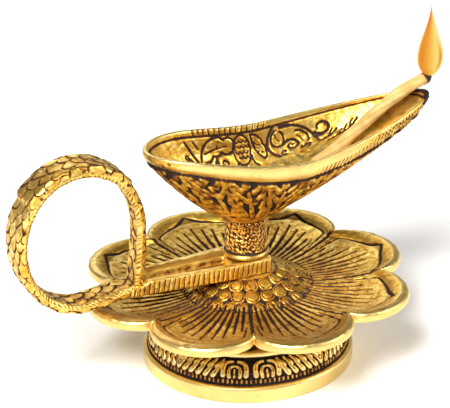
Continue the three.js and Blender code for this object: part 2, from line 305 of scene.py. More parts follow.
def new_material(name):
    """A material, its node tree and its shader."""
    material = bpy.data.materials.new(name)
    material.use_nodes = True
    return material, material.node_tree, material.node_tree.nodes["Principled BSDF"]


def wire(tree, made, links):
    """Links other nodes' outputs to a node's inputs, by name or number."""
    for key, source in links.items():
        tree.links.new(source, made.inputs[key])


def node(tree, kind, links=None, **settings):
    """Adds a shader node. Settings are its properties or inputs by name; links maps inputs to outputs."""
    made = tree.nodes.new(kind)
    for key, value in settings.items():
        if hasattr(made, key):
            setattr(made, key, value)
        else:
            made.inputs[key.replace("_", " ")].default_value = value
    wire(tree, made, links or {})
    return made


def painted(tree, name):
    """A number that the mesh carries at each of its points."""
    return node(tree, "ShaderNodeAttribute", attribute_name=name).outputs["Fac"]


def noise(tree, scale, detail=2.0):
    """Noise in the piece's own space: a scale of 1000 gives patches a millimetre across."""
    place = node(tree, "ShaderNodeTexCoord").outputs["Object"]
    return node(tree, "ShaderNodeTexNoise", {"Vector": place}, Scale=scale, Detail=detail).outputs["Fac"]


def respan(tree, value, low, high, new_low, new_high):
    """The value's span from low to high stretched over a new span, and held at its ends."""
    return node(tree, "ShaderNodeMapRange", {"Value": value}, From_Min=low, From_Max=high,
                To_Min=new_low, To_Max=new_high).outputs["Result"]


def maths(tree, operation, *terms, **settings):
    """Result of a sum whose terms are numbers or other nodes' outputs."""
    made = node(tree, "ShaderNodeMath", operation=operation, **settings)
    for socket, term in zip(made.inputs, terms):
        if isinstance(term, float):
            socket.default_value = term
        else:
            tree.links.new(term, socket)
    return made.outputs[0]


def ramp(tree, source, *stops):
    """Colour ramp over (position, hex colour) stops."""
    made = node(tree, "ShaderNodeValToRGB", {"Fac": source})
    elements = made.color_ramp.elements
    while len(elements) < len(stops):
        elements.new(0.5)
    for element, (position, colour) in zip(elements, stops):
        element.position = position
        element.color = linear(colour)
    return made.outputs["Color"]


def blend(tree, links, **settings):
    """A mix of two colours, A and B, by a factor."""
    return node(tree, "ShaderNodeMix", links, data_type="RGBA", **settings).outputs["Result"]


def antiqued_gold_brass(name, pale, deep, roughness, grit):
    """Sand cast brass, gold plated, blackened and wiped: bright yellow gold on what the cloth reaches, pale
    cream where the patina is lowest, partly buffing wear and partly a painted highlight, amber where it thins,
    black-brown lacquer in the cuts. Patina 0 is wiped metal and 1 the bottom of a cut."""
    material, tree, shader = new_material(name)
    patina = painted(tree, "patina")
    # Plating tone drifts over about 14 mm; wiping marks and stains over about 2.5 mm; sand grit is 0.5 mm.
    drift = noise(tree, 70.0, 3.0)
    stain = noise(tree, 400.0, 4.0)
    sand = noise(tree, 2000.0)
    plated = ramp(tree, drift, (0.35, deep), (0.65, pale))
    # Where the patina is lowest the gold turns pale and creamy. This is partly wear from the buffing wheel and
    # partly a painted highlight, standing in for washed-out bright reflections on flanges, rims and bands.
    buffed_and_highlight = respan(tree, patina, 0.0, 0.14, 0.5, 0.0)
    gold = blend(tree, {"Factor": buffed_and_highlight, "A": plated}, B=linear("#f3da97"))
    dirt = maths(tree, "ADD", patina, maths(tree, "MULTIPLY_ADD", stain, 0.62, -0.3), use_clamp=True)
    lacquer = ramp(tree, dirt, (0.15, "#c98a22"), (0.42, "#6b340a"), (0.75, "#160a04"))
    cover = respan(tree, dirt, 0.08, 0.42, 0.0, 1.0)
    rough = respan(tree, dirt, 0.0, 0.7, roughness, 0.62)
    fine = node(tree, "ShaderNodeBump", {"Height": sand}, Strength=grit, Distance=0.00012)
    broad = node(tree, "ShaderNodeBump", {"Height": stain, "Normal": fine.outputs["Normal"]},
                 Strength=0.35, Distance=0.0003)
    wire(tree, shader, {"Base Color": blend(tree, {"Factor": cover, "A": gold, "B": lacquer}),
                        "Metallic": respan(tree, dirt, 0.3, 0.85, 1.0, 0.25),
                        "Roughness": maths(tree, "MULTIPLY_ADD", stain, 0.12, rough),
                        "Normal": broad.outputs["Normal"]})
    return material


def place_casting(piece, cad_node, *finish):
    """A finished casting takes its gold finish, stands for its CAD node and rides on the lamp."""
    piece.data.materials.append(antiqued_gold_brass(*finish))
    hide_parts(cad_node)
    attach(piece, "lamp")


collar_low, collar_high = corners("stem_collar")
STEM_X = (collar_low[0] + collar_high[0]) / 2
foot_low, foot_high = corners("foot")
FOOT_RADIUS = (foot_high[0] - foot_low[0]) / 2
FOOT_HEIGHT = foot_high[2]
SHOULDER_RADIUS = FOOT_RADIUS - 1.7

foot_knots = [
    (BOLT_HOLE, FOOT_HEIGHT - 2.7), (NECK_RADIUS - FOOT_WALL, FOOT_HEIGHT - 2.7),
    (NECK_RADIUS - FOOT_WALL, LIP_TOP - 1), (LIP_RADIUS - FOOT_WALL, LIP_BOTTOM - 1.5),
    (SHOULDER_RADIUS - FOOT_WALL, FLANGE_HEIGHT + 1.5), (FOOT_RADIUS - 4, FLANGE_HEIGHT - 2),
    (FOOT_RADIUS - 4, 0), (FOOT_RADIUS - 0.5, 0), (FOOT_RADIUS, 0.8), (FOOT_RADIUS, FLANGE_HEIGHT - 0.5),
    (FOOT_RADIUS - 0.8, FLANGE_HEIGHT), (SHOULDER_RADIUS - 0.4, FLANGE_HEIGHT + 0.2),
    (SHOULDER_RADIUS, FLANGE_HEIGHT + 1.0), (SHOULDER_RADIUS, FLANGE_HEIGHT + 2.8),
    (SHOULDER_RADIUS - 1.1, FLANGE_HEIGHT + 5.6), (SHOULDER_RADIUS - 3.4, FLANGE_HEIGHT + 7.8),
    (LIP_RADIUS - 0.5, LIP_BOTTOM), (LIP_RADIUS + 0.6, LIP_BOTTOM + 0.7), (LIP_RADIUS + 0.4, LIP_TOP - 0.6),
    (LIP_RADIUS - 1.2, LIP_TOP), (NECK_RADIUS, LIP_TOP + 0.5), (NECK_RADIUS - 0.8, FOOT_HEIGHT - 4),
    (NECK_RADIUS + 0.3, FOOT_HEIGHT - 0.4), (NECK_RADIUS - 0.2, FOOT_HEIGHT), (BOLT_HOLE, FOOT_HEIGHT),
]
foot_counts = [3, 3, 2, 3, 2, 3, 4, 2, 6, 3, 3, 3, 9, 17, 17, 14, 5, 6, 5, 5, 12, 6, 2, 3, 2]
foot_line = outline(foot_knots, foot_counts, 0.22)
foot_angle = around(FOOT_AROUND)
foot_station = first_stations(foot_counts)
outside_start, shoulder_start, shoulder_end = foot_station[[6, 11, 16]]
neck_start, neck_end = foot_station[19] + 1, foot_station[22]


def turned(line, angles):
    """A (radius, height) line turned round the stem axis."""
    radius, height = line[:, 0][:, None], line[:, 1][:, None]
    return np.stack([STEM_X + radius * np.cos(angles), radius * np.sin(angles),
                     height + 0 * angles], axis=-1)


def leaf_frieze(width, height):
    """One repeat of the shoulder's carving: two palmettes in the middle, and on each side two staggered rows
    of leaf lobes that lean away from them, over small scales. Rise is raised metal, cut its veins."""
    board = blank((-width / 2, width / 2), (0, height))

    def lobe(line, thin, wide):
        stroke(board, "rise", line, thin, wide, sharp=0.5)
        stroke(board, "cut", line[4:-3], 0.2, 0.42)

    palmette, lobes, small_scales = 6.6, 6, 34
    first = palmette + 5.2
    pitch = (width / 2 - first) / lobes
    for middle in (-palmette, palmette):
        lobe([(middle, 6.4 - 0.3 * k) for k in range(11)], 0.4, 0.75)
    for side in (-1, 1):
        for middle in (-palmette, palmette):
            lobe(branch(middle, side, (1.2, height - 1.4), (5.6, 9.8), (4.6, 4)), 0.8, 1.35)
            lobe(branch(middle, side, (0.5, 7.6), (3, 7.2), (2.1, 3.4)), 0.6, 1)
        for k in range(lobes + 1):
            root = side * (first + pitch * k)
            low = root + side * 0.5 * pitch
            lobe(branch(root, side, (0, height - 0.5), (0.2, 9.4), (2.4, 7)), 0.7, 1.2)
            lobe(branch(low, side, (-0.6, 8.2), (0, 5.8), (2, 3.4)), 0.8, 1.35)
    for k in range(small_scales + 1):
        x = (k / small_scales - 0.5) * width
        stroke(board, "rise", [(x, 2), (x, 0.9)], 0.66, 0.8, sharp=0.7)
    return board


tile_width = FULL_TURN * SHOULDER_RADIUS / FOOT_TILES
frieze = leaf_frieze(tile_width, CARVING_HEIGHT)
walk = distance_along(foot_line)
climb = (walk - walk[shoulder_start]) / (walk[shoulder_end] - walk[shoulder_start])
tile_place = ((foot_angle - FIRST_CURLS) / FULL_TURN * FOOT_TILES + 0.5) % 1.0 - 0.5
frieze_x, frieze_y = np.meshgrid(tile_place * tile_width, climb * CARVING_HEIGHT)
in_frieze = ((climb > 0) & (climb < 1))[:, None]
raised = read_board(frieze, "rise", frieze_x, frieze_y)
veins = read_board(frieze, "cut", frieze_x, frieze_y)
low_row = ease(frieze_y, 2.9, -0.4)
foot_depth = np.where(in_frieze, 1.3 * (1 - raised) + 0.5 * veins * raised, 0.0)
foot_patina = np.where(in_frieze, unit(1.4 - 1.9 * raised) + 0.45 * veins + 0.3 * low_row, 0.0)

# The neck carries small upright leaves. Its dark is partly the blackening left in the carving and partly
# painted shade, for the shadow under the plate's overhang.
foot_row = np.arange(len(foot_line))[:, None]
in_neck = (foot_row >= neck_start) & (foot_row < neck_end)
neck_wave = np.abs(np.cos(foot_angle * NECK_LEAVES / 2))[None, :] ** 0.7
neck_share = (foot_row - neck_start) / (neck_end - neck_start)
neck_leaf = unit(neck_wave - 0.9 * np.abs(neck_share - 0.45))
foot_depth += np.where(in_neck, 0.8 * (0.5 - neck_leaf), 0)
foot_patina += np.where(in_neck, np.clip(1.15 - 1.2 * neck_leaf, 0.25, 1), 0)
# A black line stands under the shoulder, in the corner above the flange, and one under the lip.
for station in (shoulder_start, shoulder_end):
    foot_patina += bell(walk, walk[station], 0.45)[:, None]

foot_grid = turned(foot_line, foot_angle)
foot_depth += 0.05 * grain(foot_grid, 3.0, 11) * (walk > walk[outside_start])[:, None]
foot = casting("foot_casting", foot_grid, foot_depth, foot_patina)
place_casting(foot, "foot", "gold_plated_brass_turned", "#e2c67a", "#cfa552", 0.26, 0.3)


# ---------------------------------------- lotus plate
# The plate is one open-moulded casting of eight cupped petals round a mound of seeds. Its cuts are chased
# with a punch and blackened. It lies on the foot's deck, held there by the bolt.
plate_low, plate_high = corners("lotus_plate")
PLATE_SEAT, MOUND_TOP = plate_low[2], plate_high[2]
PETALS = 8
TIP_RADIUS, NOTCH_RADIUS = 65.4, 52.5
PLATE_AROUND = 640
PULL_START = 24.0
BORDER_RADIUS = 57.0
SEED_RINGS = ((14.0, 15), (18.9, 20), (23.8, 26))

plate_profile = [
    (BOLT_HOLE, 0), (28.5, 0), (46, 2.2), (62, 4.3), (64.8, 4.9), (TIP_RADIUS, 5.8), (TIP_RADIUS - 0.1, 7.6),
    (TIP_RADIUS - 0.9, 8.5), (62.2, 9), (58.9, 8.3), (BORDER_RADIUS, 7), (52, 6.2), (44, 5.2), (34, 4.7),
    (26.5, 4.9), (21, 7.2),
]
plate_knots = [(radius, PLATE_SEAT + rise) for radius, rise in plate_profile]
plate_knots += [(16, MOUND_TOP - 2.4), (12.5, MOUND_TOP - 0.4), (11, MOUND_TOP), (BOLT_HOLE, MOUND_TOP)]
plate_counts = [3, 6, 5, 5, 4, 4, 4, 6, 7, 5, 11, 16, 20, 15, 13, 12, 8, 3, 3, 3]
plate_line = outline(plate_knots, plate_counts, 0.35)
plate_angle = around(PLATE_AROUND)
top_start, top_end = first_stations(plate_counts)[[8, 18]]


def petal_scale(radius, angle):
    """How far the outline is pulled in to the notches: nothing inside the mound, all of it at the edge."""
    lobe = np.abs(np.cos(PETALS / 2 * angle)) ** 0.6
    reach = (NOTCH_RADIUS + (TIP_RADIUS - NOTCH_RADIUS) * lobe) / TIP_RADIUS
    return 1 - (1 - reach) * ease(radius, PULL_START, TIP_RADIUS - PULL_START)


def on_petal(radius, degrees):
    """Place in plan on the petal along +x of a radius, before the outline is pulled in, and an angle."""
    angle = np.radians(degrees)
    reach = radius * petal_scale(radius, angle)
    return np.stack([reach * np.cos(angle), reach * np.sin(angle)], axis=-1)


def petal_carving():
    """The cuts on one petal: a border that comes to a point at its tip, its valleys, and a fan of rays."""
    board = blank((18, 66), (-27, 27))
    for side in (-1, 1):
        degrees = np.linspace(0, 18.3, 20)
        peak = 2.6 * unit(1 - degrees / 7) ** 1.6
        stroke(board, "cut", on_petal(BORDER_RADIUS + peak - 0.05 * degrees, side * degrees), 0.66, 0.34)
        turn_in = on_petal(np.linspace(56, 41, 12), side * np.linspace(18.3, 19.6, 12))
        stroke(board, "cut", turn_in, 0.4, 0.2)
        valley = [(x * math.cos(math.pi / PETALS), side * x * math.sin(math.pi / PETALS)) for x in (20, 66)]
        stroke(board, "cut", valley, 0.75, 0.75)
    rays = 4
    for k in range(-rays, rays + 1):
        spread = abs(k) / rays
        end_radius = 53.0 - 8.0 * spread ** 1.6 - 1.2 * (k % 2)
        radii = np.linspace(23.4 + 1.2 * (k % 2), end_radius, 14)
        lean = 4.3 * k * (1 + 0.1 * np.linspace(0, 1, 14) ** 2 * (1 - spread))
        ray = on_petal(radii, lean)
        stroke(board, "cut", ray[:6], 0.4, 0.74)
        stroke(board, "cut", ray[5:], 0.74, 0.24)
    return board


def seed_field(x, y):
    """Height from 0 to 1 and dirt of the mound's seeds: three rings of knobs, each with a ring cut in it."""
    place = np.stack([x, y, 0 * x], axis=-1)
    x, y = x + 0.35 * grain(place, 5.0, 24), y + 0.35 * grain(place, 5.0, 25)
    radius, angle = np.hypot(x, y), np.arctan2(y, x)
    height, groove = np.zeros(radius.shape), np.zeros(radius.shape)
    for ring, (middle, count) in enumerate(SEED_RINGS):
        turn = (angle / FULL_TURN * count + 0.5 * ring) % 1.0 - 0.5
        across = turn * FULL_TURN * middle / count
        away = ((np.abs(across) / 3.05) ** 2.2 + (np.abs(radius - middle) / 2.8) ** 2.2) ** (1 / 2.2)
        height = np.maximum(height, unit(1.6 * (1 - away ** 6)) * (0.75 + 0.25 * (1 - away ** 2)))
        groove = np.maximum(groove, bell(away, 0.68, 0.07))
    return height, groove


unpulled_radius = plate_line[:, 0][:, None] + 0 * plate_angle
pull = petal_scale(unpulled_radius, plate_angle[None, :])
plate_grid = turned(plate_line, plate_angle)
plan_x, plan_y = (plate_grid[..., 0] - STEM_X) * pull, plate_grid[..., 1] * pull
plate_grid[..., 0], plate_grid[..., 1] = STEM_X + plan_x, plan_y
plan_radius = np.hypot(plan_x, plan_y)
plate_row = np.arange(len(plate_line))[:, None]
top = ((plate_row >= top_start) & (plate_row < top_end)).astype(float)
# Each petal is a shallow scoop: its middle line lies low, and its sides rise a little to the valleys.
own_angle = (plate_angle + math.pi / PETALS) % (FULL_TURN / PETALS) - math.pi / PETALS
edge_share = np.abs(own_angle) / (math.pi / PETALS)
scoop = np.sin(math.pi * unit((unpulled_radius - 26) / 36)) * (edge_share[None, :] ** 2 - 0.35)
plate_grid[..., 2] += 1.1 * scoop * top
cuts = read_board(petal_carving(), "cut", plan_radius * np.cos(own_angle), plan_radius * np.sin(own_angle))
cuts = cuts * top * ease(plan_radius, 21, 3)
seeds, seed_rings = seed_field(plan_x, plan_y)
in_seeds = top * ease(plan_radius, 26.6, -0.8) * ease(plan_radius, 11.2, 0.6)
plate_depth = 0.85 * cuts + in_seeds * (0.9 * (1 - seeds) + 0.25 * seed_rings * seeds)
plate_patina = 1.15 * cuts + in_seeds * (0.95 * unit(0.62 - seeds) / 0.62 + 0.45 * seed_rings)
# The chaser's hand tooling leaves the floor of the petals a little uneven.
plate_depth += 0.09 * grain(plate_grid, 4.0, 21) + 0.05 * grain(plate_grid, 1.6, 22)
mottle = 0.14 + 0.1 * grain(plate_grid, 6.0, 23) + 0.12 * grain(plate_grid, 1.8, 26)
plate_patina += top * mottle * ease(unpulled_radius, 58, -4)
# Painted shade: a band across each petal's sloped border, between radii 56.5 and 62.5 mm, is made darker as if
# it lay in shade.
plate_patina += 0.2 * top * ease(unpulled_radius, 62.5, -2) * ease(unpulled_radius, 56.5, 1)
plate = casting("lotus_plate_casting", plate_grid, plate_depth, plate_patina)
place_casting(plate, "lotus_plate", "gold_plated_brass_cast", "#e6c35a", "#c79a34", 0.3, 0.8)


# ---------------------------------------- snake handle
# One sand casting: a tongue with a raised rib at each side, clamped under the stem, and a flat snake that
# runs round the finger hole and lands on the tongue. Scales are pressed into the pattern on its flats.
handle_low, handle_high = corners("snake_handle")
TONGUE_THICK = 5.9
TONGUE_BOTTOM = MOUND_TOP + 0.3
TONGUE_TOP = TONGUE_BOTTOM + TONGUE_THICK
LOOP_THICK = 4.4
LOOP_HALF_X, LOOP_HALF_Z = 27.0, 30.4
LOOP_X = handle_low[0] - STEM_X + LOOP_HALF_X
LOOP_Z = handle_high[2] - LOOP_HALF_Z
LOOP_INSET = 44.8
SNAKE_WIDTH, SNAKE_NECK, SNAKE_TAIL = 15.4, 13.0, 9.8
SNAKE_STATIONS, TONGUE_STATIONS, HANDLE_AROUND = 540, 190, 128
FRONT_RIB, CHANNEL_DEPTH, CHANNEL_END = 3.2, 2.2, -8.9
TONGUE_WIDENS = [-LOOP_INSET, -10.2]


def scales(along, across, pitch, width):
    """Overlapping round scales in staggered rows. Gives the height from 0 to 1, which grows to the free edge,
    and the dark line round each scale. The rows overlap like tiles: the nearest row on top wins."""
    height, edge = np.zeros(along.shape), np.zeros(along.shape)
    taken = np.zeros(along.shape, bool)
    row = np.floor(along / pitch)
    for step in (2, 1, 0, -1):
        own = row + step
        shift = 0.5 * (own % 2)
        column = np.round(across / width - shift)
        dx = (across - (column + shift) * width) / (0.56 * width)
        dy = (along - (own - 0.55) * pitch) / (1.25 * pitch)
        away = np.hypot(dx, dy)
        inside = (away < 1) & (dy > -1) & ~taken
        height = np.where(inside, 0.25 + 0.75 * away ** 2, height)
        edge = np.where(inside, ease(away, 0.78, 0.2), edge)
        taken |= inside
    return height, edge


def loop_line():
    """Centre line of the snake in x and z: off the tongue, round the finger hole and back to the tongue."""
    reach_x, reach_z = LOOP_HALF_X - LOOP_THICK / 2, LOOP_HALF_Z - LOOP_THICK / 2
    angles = np.radians(-90 - np.arange(0, 271, 6))
    arm_x = LOOP_X + reach_x
    knots = [(-LOOP_INSET, TONGUE_BOTTOM + TONGUE_THICK / 2)]
    knots += list(zip(LOOP_X + reach_x * np.cos(angles), LOOP_Z + reach_z * np.sin(angles)))
    knots += [(arm_x - 0.3, LOOP_Z - 0.25 * reach_z), (arm_x - 0.9, LOOP_Z - 0.5 * reach_z),
              (arm_x - 2.4, TONGUE_TOP - 1.5)]
    fine = outline(knots, [12] * (len(knots) - 1), 1.6, closed=False)
    reach = distance_along(fine)
    at = np.linspace(0, reach[-1], SNAKE_STATIONS)
    return read_line(at, reach, fine), at


def rounded_bar(width, thick, corner):
    """Points round a bar's section by arc length: y across the width and n through the thickness.
    There is one width for each station. Each half turn is a flat, a corner, a side and a corner."""
    width = width[:, None]
    flat_y, flat_n = width / 2 - corner, thick / 2 - corner
    quarter = math.pi / 2 * corner
    lengths = [2 * flat_y, quarter, 2 * flat_n + 0 * flat_y, quarter] * 2
    total = sum(lengths)
    at = np.linspace(0, 1, HANDLE_AROUND, endpoint=False)[None, :] * total
    y, n, start = 0 * at, 0 * at, 0 * total
    for k, length in enumerate(lengths):
        share = (at - start) / length
        turn = share * math.pi / 2
        stretch_y, stretch_n = (
            (-flat_y + 2 * flat_y * share, flat_n + corner),
            (flat_y + corner * np.sin(turn), flat_n + corner * np.cos(turn)),
            (flat_y + corner, flat_n - 2 * flat_n * share),
            (flat_y + corner * np.cos(turn), -flat_n - corner * np.sin(turn)),
        )[k % 4]
        here = (share >= 0) & (share < 1)
        side = 1 if k < 4 else -1
        y = np.where(here, side * stretch_y, y)
        n = np.where(here, side * stretch_n, n)
        start = start + length
    return y, n


line, walked = loop_line()
heading = np.gradient(line, axis=0)
heading /= np.linalg.norm(heading, axis=1, keepdims=True)
# Out of the loop: the path runs clockwise seen from the front, so that is to the left of travel.
outwards = np.stack([-heading[:, 1], heading[:, 0]], axis=1)
down = ease(line[:, 1], LOOP_Z, -LOOP_HALF_Z)
across_arm = ease(line[:, 0], LOOP_X + LOOP_HALF_X / 3, LOOP_HALF_X * 0.6)
body = 1 + (SNAKE_NECK / SNAKE_WIDTH - 1) * down
snake_widths = SNAKE_WIDTH * (body + (SNAKE_TAIL / SNAKE_WIDTH - body) * across_arm)
section_y, section_n = rounded_bar(snake_widths, LOOP_THICK, 2.05)
# The snake is a little thicker over the top, where the pattern has a hump.
turn_of = np.degrees(np.arctan2(line[:, 1] - LOOP_Z, line[:, 0] - LOOP_X))
hump = ease(turn_of, 140, -6) * ease(turn_of, 42, 3) * (line[:, 1] > LOOP_Z)
section_n = section_n + 1.0 * hump[:, None] * (section_n > 0)
snake_grid = np.stack([STEM_X + line[:, 0][:, None] + outwards[:, 0][:, None] * section_n, section_y,
                       line[:, 1][:, None] + outwards[:, 1][:, None] * section_n], axis=-1)
flat_share = ease(np.abs(section_y), snake_widths[:, None] / 2 - 1.2, -1.2)
outer_face = ease(section_n, -0.5, 0.8)
inner_face = (section_n < 0) * flat_share
side_face = (1 - flat_share) * (1 - outer_face)
# Across the snake the scales are measured over its edge, so that they wrap on to the sides.
over_edge = np.sign(section_y) * np.clip(LOOP_THICK / 2 - section_n, 0, None) * (section_n > -1)
drift_along = walked[:, None] + 1.1 * grain(snake_grid, 7.0, 35)
drift_across = section_y + over_edge + 1.0 * grain(snake_grid, 6.0, 36)
scale_height, scale_edge = scales(drift_along, drift_across, 4.4, 5.6)
snake_depth = (outer_face + inner_face) * (0.75 * (1 - scale_height) + 0.25 * scale_edge)
snake_patina = 0.05 + outer_face * (0.6 * scale_edge + 0.08) + inner_face * (0.6 * scale_edge + 0.17)
# Fine punched strokes cross the inner edges of the side faces.
stitch = unit(np.cos(FULL_TURN * (drift_along + 0.8 * section_n) / 1.9)) ** 2
stitch *= bell(section_n, -1.3, 0.8) * side_face
snake_depth += 0.3 * stitch + 0.14 * grain(snake_grid, 4.2, 31) + 0.05 * grain(snake_grid, 1.8, 38)
snake_patina += 0.5 * stitch + 0.1 * grain(snake_grid, 5.0, 32)
snake = casting("snake_handle_casting", snake_grid, snake_depth, snake_patina, wraps=False)

# The tongue: the ribs stand at its sides, the floor between them is hollowed, and it widens to the stem.
tongue_x = np.linspace(-LOOP_INSET - 6, 7, TONGUE_STATIONS)
end_round = np.sqrt(np.clip(1 - unit((tongue_x - 5.8) / 1.2) ** 2, 0.02, 1))
tongue_half = np.interp(tongue_x, TONGUE_WIDENS, [12.5 / 2, 19 / 2]) - (1 - end_round)
rear_rib = np.interp(tongue_x, TONGUE_WIDENS, [5.6, 8.8])[:, None]
bar_y, bar_z = rounded_bar(2 * tongue_half, TONGUE_THICK, 0.9)
tongue_x, tongue_half = tongue_x[:, None], tongue_half[:, None]
front_gap = bar_y + tongue_half - FRONT_RIB
rear_gap = tongue_half - rear_rib - bar_y
in_channel = ease(tongue_x, CHANNEL_END, -1.5)
hollow = ease(front_gap, -0.3, 1.2) * ease(rear_gap, -0.3, 1.6) * (bar_z > 0) * in_channel
rear_place = np.clip((rear_gap + rear_rib / 2) / rear_rib, -0.5, 0.5)
front_place = np.clip((front_gap + FRONT_RIB / 2) / FRONT_RIB, -0.5, 0.5)
crown = 0.3 * np.cos(front_place * math.pi) + 1.5 * np.cos(rear_place * math.pi)
bar_z = bar_z - CHANNEL_DEPTH * hollow + crown * (bar_z > 0) * (1 - hollow) - 0.3 * (bar_z > 0)
# Behind the snake's tail the tongue thins down to the strip that it grows from.
grown = ease(tongue_x + LOOP_INSET, -3.5, 6.0)
bar_z = np.where(bar_z > 0, bar_z * (0.25 + 0.75 * grown), bar_z)
from_bottom = bar_z + TONGUE_THICK / 2
tongue_grid = np.stack([STEM_X + tongue_x + 0 * bar_y, bar_y, TONGUE_BOTTOM + from_bottom], axis=-1)
sides = ease(-bar_y - tongue_half, -0.7, 0.3) + ease(bar_y - tongue_half, -0.7, 0.3)
hatch_place = tongue_x - 0.12 * from_bottom + 0.25 * grain(tongue_grid, 6.0, 39)
hatch = unit(np.cos(FULL_TURN * hatch_place / 2.0)) ** 3 * sides * ease(from_bottom, 5.6, -0.6)
# The channel's two corner grooves carry some blackening. The channel floor and its corners are also darkened
# as painted shade for the hollow between the ribs.
corner_groove_and_shade = (bell(front_gap, 0.6, 0.6) + bell(rear_gap, 0.5, 0.7)) * (hollow > 0.01) * in_channel
tongue_depth = 0.5 * hatch + 0.2 * corner_groove_and_shade + 0.08 * grain(tongue_grid, 3.0, 33)
tongue_patina = 0.08 + 0.5 * hatch + 0.26 * corner_groove_and_shade + 0.05 * hollow + 0.08 * grain(tongue_grid, 4.0, 34)
tongue = casting("tongue_casting", tongue_grid, tongue_depth, tongue_patina, wraps=False)
with bpy.context.temp_override(active_object=snake, selected_editable_objects=[snake, tongue]):
    bpy.ops.object.join()
place_casting(snake, "snake_handle", "gold_plated_brass_scaled", "#f7d873", "#dfae42", 0.26, 0.6)


# ---------------------------------------- stem collar
# A short waisted spacer, cast rough: its skin is pebbled all over and the black stays between the pebbles.
# The bolt runs through it and squeezes it between the tongue and the bowl.
COLLAR_BOTTOM, COLLAR_TOP = collar_low[2], collar_high[2]
COLLAR_RADIUS = 8.2
COLLAR_AROUND = 300
collar_knots = [
    (BOLT_HOLE, COLLAR_BOTTOM), (COLLAR_RADIUS + 0.5, COLLAR_BOTTOM), (COLLAR_RADIUS + 0.9, COLLAR_BOTTOM + 1),
    (COLLAR_RADIUS + 0.3, COLLAR_BOTTOM + 2), (COLLAR_RADIUS - 0.1, COLLAR_BOTTOM + 3),
    (COLLAR_RADIUS - 0.2, COLLAR_TOP - 4), (COLLAR_RADIUS + 0.5, COLLAR_TOP - 1.6),
    (COLLAR_RADIUS + 0.9, COLLAR_TOP), (BOLT_HOLE, COLLAR_TOP),
]
collar_line = outline(collar_knots, [6, 6, 6, 6, 40, 12, 8, 6, 4], 0.25)
collar_grid = turned(collar_line, around(COLLAR_AROUND))
on_skin = (collar_line[:, 0] > COLLAR_RADIUS - 0.8)[:, None]
collar_rise = collar_grid[..., 2] - COLLAR_BOTTOM
above_lip = on_skin * ease(collar_rise, 2.2, 1.0)
pebbles = 0.7 * grain(collar_grid, 1.7, 41) + 0.8 * grain(collar_grid, 1.05, 42)
collar_depth = 0.32 * np.clip(pebbles, -1, 1) * above_lip
collar_patina = np.clip(0.3 + 0.8 * pebbles, 0, 0.95) * above_lip
collar_patina += 0.9 * on_skin * bell(collar_rise, 2.3, 0.45)
collar = casting("stem_collar_casting", collar_grid, collar_depth, collar_patina)
place_casting(collar, "stem_collar", "gold_plated_brass_pebbled", "#dcae4c", "#a8702a", 0.28, 0.8)


# ---------------------------------------- oil bowl
# The bowl is one open casting: a round boss on the stem, a boat-shaped hull, a polished band under the rim
# and a spout for the wick. Leaves are chased outside and scrolls inside; soot has blackened the spout's tip.
bowl_low, bowl_high = corners("oil_bowl")
BOWL_SEAT = bowl_low[2]
BOWL_BACK, BOWL_SPOUT = STEM_X - bowl_low[0], bowl_high[0] - STEM_X
BOWL_HALF, BOWL_WIDEST = 22.8, 16.0
BOWL_WALL = 2.0
BOWL_INSIDE = BOWL_SEAT + 6.6
BASE_RADIUS = 9.2
INSIDE_FULLNESS, OUTSIDE_FULLNESS = 1.45, 1.36
RIM_LOW = BOWL_SEAT + 27
RIM_LIFT_BACK, RIM_LIFT_SPOUT = 6.8, 9.6
BAND_TALL, BAND_TAPER = 6.5, 0.42
HULL_TOP = 0.97
THREAD_TOP = BOWL_SEAT + 5.0
BOWL_AROUND = 612
LEAVES = 16
BOSS, OUTER, BAND, RIM, INNER = range(5)


def rim_outline(angle):
    """Plan of the rim: round and full at the back, drawn out to a narrow spout in front."""
    lead = np.cos(angle)
    reach = np.where(lead > 0, BOWL_SPOUT - BOWL_WIDEST, BOWL_BACK + BOWL_WIDEST)
    ahead = np.sqrt(unit(1 - lead ** 2)) * (1 - 0.3 * unit(lead) ** 1.5)
    behind = np.sqrt(unit(1 - np.abs(lead) ** 2.5))
    full = np.where(lead > 0, ahead, behind)
    return np.stack([BOWL_WIDEST + reach * lead, np.sign(np.sin(angle)) * BOWL_HALF * full], axis=-1)


def rim_height(x):
    """Height of the rim: lowest beside the stem, higher at the back, highest at the spout."""
    behind = unit((BOWL_WIDEST - x) / (BOWL_BACK + BOWL_WIDEST))
    ahead = unit((x - BOWL_WIDEST) / (BOWL_SPOUT - BOWL_WIDEST))
    return RIM_LOW + RIM_LIFT_BACK * (1 - np.cos(math.pi * behind)) / 2 + RIM_LIFT_SPOUT * ahead ** 1.4


def band_height(x):
    """Height of the plain band under the rim, tallest where the bowl is widest."""
    reach = np.where(x < BOWL_WIDEST, BOWL_BACK + BOWL_WIDEST, BOWL_SPOUT - BOWL_WIDEST)
    return BAND_TALL * (1 - BAND_TAPER * ((x - BOWL_WIDEST) / reach) ** 2)


# The grid's columns are spread evenly along the rim, so the carving is as fine at the sides as at the ends.
fine_angle = np.linspace(0, FULL_TURN, 20001)
rim_walk = distance_along(rim_outline(fine_angle))
rim_turn = np.linspace(0, rim_walk[-1], BOWL_AROUND, endpoint=False)
rim = rim_outline(np.interp(rim_turn, rim_walk, fine_angle))
rim_away = np.linalg.norm(rim, axis=1)
rim_unit = rim / rim_away[:, None]
rim_z, band_z = rim_height(rim[:, 0]), band_height(rim[:, 0])
# Square to the rim in plan, pointing out, for the thickness of the wall.
rim_side = np.roll(rim, -1, axis=0) - np.roll(rim, 1, axis=0)
rim_out = np.stack([rim_side[:, 1], -rim_side[:, 0]], axis=1) / np.linalg.norm(rim_side, axis=1)[:, None]
rings, zones, shares = [], [], []


def add_ring(zone, share, plan, height):
    """Adds a ring of the bowl: its zone, its share of that zone, its plan and its height."""
    rings.append(np.column_stack([plan, np.broadcast_to(height, (BOWL_AROUND,))]))
    zones.append(zone)
    shares.append(share)


